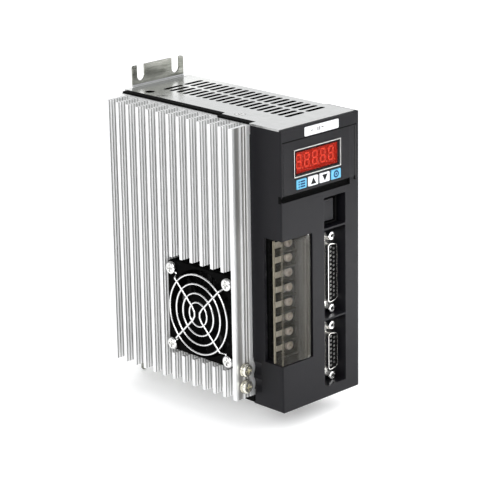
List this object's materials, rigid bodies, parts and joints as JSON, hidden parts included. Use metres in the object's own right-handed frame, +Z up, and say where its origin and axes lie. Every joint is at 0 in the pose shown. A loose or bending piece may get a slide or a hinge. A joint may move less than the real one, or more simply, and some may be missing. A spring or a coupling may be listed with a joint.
{
  "type": "servo drive",
  "caption": "Panel-mounted servo drive: finned aluminium heatsink with fan and guard, vented sheet case, front housing with display, keys, D-shaped connectors and a clear hinged terminal cover.",
  "frame": {"origin": "middle of the rear mounting face, half-way up the case, in line with the mounting slots", "axes": "+Z up, +Y back into the mounting panel, +X to the right seen from the front"},
  "size_m": [0.0839, 0.1485, 0.2066],
  "materials": {
    "sink_aluminium": "extruded, fine lengthwise die lines",
    "plated_sheet": "zinc-plated sheet, satin with soft sheen",
    "steel_screw": "bright zinc plate",
    "black_rubber": "matt",
    "housing_plastic": "fine spark texture, charcoal black",
    "bezel_silver": "satin silver",
    "red_lens": "clear red window",
    "display_grey": "matt",
    "display_segment": "diffusing",
    "label_white": "printed label stock, left blank",
    "button_blue": "satin",
    "button_white": "satin",
    "board_green": "solder mask",
    "black_plastic": "moulded",
    "tin_plate": "tin plated",
    "gold_contact": "gold flash",
    "contact_tin": "bright tin",
    "terminal_tin": "tin plated, satin",
    "terminal_nickel": "satin nickel plate",
    "clear_smoke": "clear smoked plastic",
    "copper_winding": "enamelled wire and laminations",
    "guard_wire": "bright nickel-plated wire",
    "brass_screw": "nickel-washed brass",
    "module_grey": "moulded epoxy",
    "pad_grey": "silicone sheet",
    "capacitor_sleeve": "shrink sleeve",
    "ferrite_tape": "ferrite core with yellow tape",
    "relay_blue": "moulded",
    "resistor_white": "cement body",
    "chip_black": "moulded epoxy"
  },
  "bodies": {
    "drive": {"heatsink": "sink_aluminium", "top_cover": "plated_sheet", "bottom_cover": "plated_sheet", "side_panel": "plated_sheet", "rear_panel": "plated_sheet", "rear_screws": "steel_screw", "rear_brackets": "plated_sheet", "cover_screws": "steel_screw", "edge_seals": "black_rubber", "front_housing": "housing_plastic", "operator_panel": "housing_plastic", "display_bezel": "bezel_silver", "display_lens": "red_lens", "display_module": "display_grey", "display_segments": "display_segment", "nameplate": "label_white", "panel_board": "board_green", "tact_switches": "black_plastic", "io_connector_shell": "tin_plate", "io_connector_insert": "black_plastic", "encoder_connector_shell": "tin_plate", "encoder_connector_insert": "black_plastic", "connector_contacts": "contact_tin", "jackscrews": "steel_screw", "comm_port": "black_plastic", "comm_port_plug": "housing_plastic", "comm_port_contacts": "gold_contact", "terminal_block": "black_plastic", "terminal_plates": "terminal_tin", "terminal_screws": "terminal_nickel", "hinge_pins": "steel_screw", "fan_frame": "black_plastic", "fan_stator": "copper_winding", "fan_guard": "guard_wire", "fan_screws": "steel_screw", "ground_screws": "brass_screw", "ground_washers": "brass_screw", "power_board": "board_green", "board_standoffs": "steel_screw", "board_pillars": "steel_screw", "control_board": "board_green", "board_screws": "steel_screw", "power_module": "module_grey", "rectifier": "black_plastic", "thermal_pads": "pad_grey", "module_screws": "steel_screw", "bus_capacitors": "capacitor_sleeve", "transformer": "ferrite_tape", "relay": "relay_blue", "brake_resistor": "resistor_white", "current_sensors": "black_plastic", "logic_chips": "chip_black", "board_link": "black_plastic"},
    "mode_button": {"mode_button": "button_blue"},
    "up_button": {"up_button": "button_white"},
    "down_button": {"down_button": "button_white"},
    "set_button": {"set_button": "button_blue"},
    "fan_rotor": {"fan_impeller": "black_plastic", "fan_shaft": "steel_screw"},
    "terminal_cover": {"terminal_cover": "clear_smoke"}
  },
  "joints": [
    {"name": "mode_button_press", "type": "slide", "parent": "drive", "child": "mode_button", "axis": [0, 1, 0], "range_m": [0, 0.0004], "stiffness_N_per_m": 300},
    {"name": "up_button_press", "type": "slide", "parent": "drive", "child": "up_button", "axis": [0, 1, 0], "range_m": [0, 0.0004], "stiffness_N_per_m": 300},
    {"name": "down_button_press", "type": "slide", "parent": "drive", "child": "down_button", "axis": [0, 1, 0], "range_m": [0, 0.0004], "stiffness_N_per_m": 300},
    {"name": "set_button_press", "type": "slide", "parent": "drive", "child": "set_button", "axis": [0, 1, 0], "range_m": [0, 0.0004], "stiffness_N_per_m": 300},
    {"name": "fan_spin", "type": "hinge", "parent": "drive", "child": "fan_rotor", "pos_m": [-0.0423, -0.087, -0.03665], "axis": [1, 0, 0], "continuous": true},
    {"name": "cover_swing", "type": "hinge", "parent": "drive", "child": "terminal_cover", "pos_m": [-0.0133, -0.1464, -0.01965], "axis": [0, 0, 1], "range_deg": [0, 95]}
  ]
}
